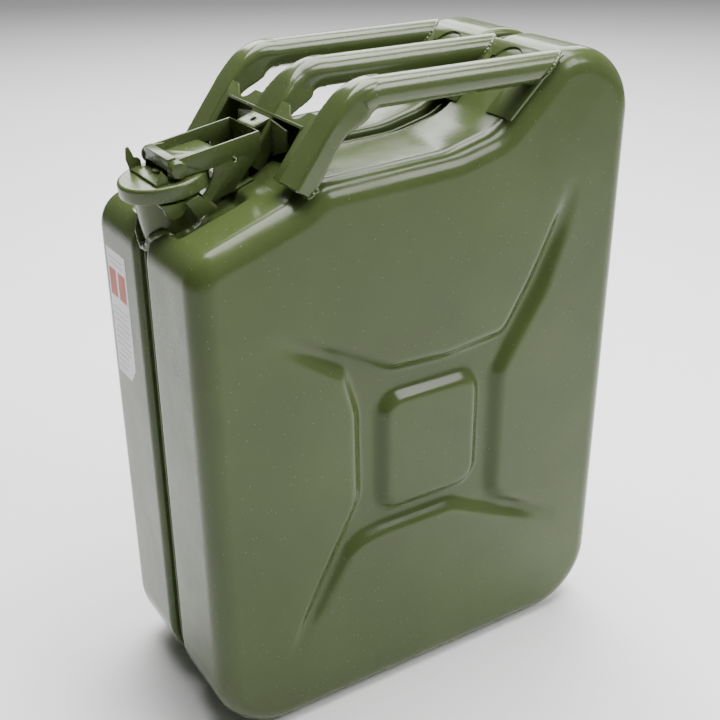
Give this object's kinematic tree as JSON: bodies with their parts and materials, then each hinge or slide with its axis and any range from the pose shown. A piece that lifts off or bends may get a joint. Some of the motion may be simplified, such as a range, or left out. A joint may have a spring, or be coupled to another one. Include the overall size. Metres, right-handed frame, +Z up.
{
  "type": "jerry can",
  "caption": "Pressed steel fuel can with ribbed panels, a tubular carrying handle and a cam-lever lid on a short mouth.",
  "frame": {"origin": "middle of the base the can stands on, half way along its width and its thickness", "axes": "+X along the can's width, with the mouth at the -X end; +Y through its thickness; +Z up"},
  "size_m": [0.3534, 0.165, 0.47],
  "materials": {
    "shell_paint": "gloss",
    "handle_paint": "gloss",
    "closure_paint": "gloss",
    "pin_steel": "satin",
    "inner_steel": "satin",
    "gasket_rubber": "matte",
    "label_vinyl": "satin"
  },
  "bodies": {
    "can": {"half_shell_near": "shell_paint", "half_shell_far": "shell_paint", "mouth_neck": "shell_paint", "neck_collar": "shell_paint", "neck_lugs": "closure_paint", "vent_tube": "inner_steel", "vent_clip": "inner_steel", "hinge_bracket": "closure_paint", "hinge_pin": "pin_steel", "handle_front_plate": "handle_paint", "handle_rear_plate": "handle_paint", "handle_tube_near": "handle_paint", "handle_tube_centre": "handle_paint", "handle_tube_far": "handle_paint", "hazard_label": "label_vinyl"},
    "lid": {"lid_disc": "closure_paint", "lid_gasket": "gasket_rubber", "gasket_retainer": "inner_steel", "lid_yoke": "closure_paint", "lid_rivet": "closure_paint", "lid_carrier": "closure_paint", "pivot_rivets": "pin_steel"},
    "lever": {"lever_frame": "closure_paint", "thumb_plate": "closure_paint"}
  },
  "joints": [
    {"name": "lid_swing", "type": "hinge", "parent": "can", "child": "lid", "pos_m": [-0.103, 0, 0.409], "axis": [0, 1, 0], "range_deg": [0, 50]},
    {"name": "lever_lift", "type": "hinge", "parent": "lid", "child": "lever", "pos_m": [-0.1505, 0, 0.4172], "axis": [0, -1, 0], "range_deg": [0, 110]}
  ],
  "couplings": [
    {"joint": "lever_lift", "follows": "lid_swing", "ratio": 2.2}
  ]
}
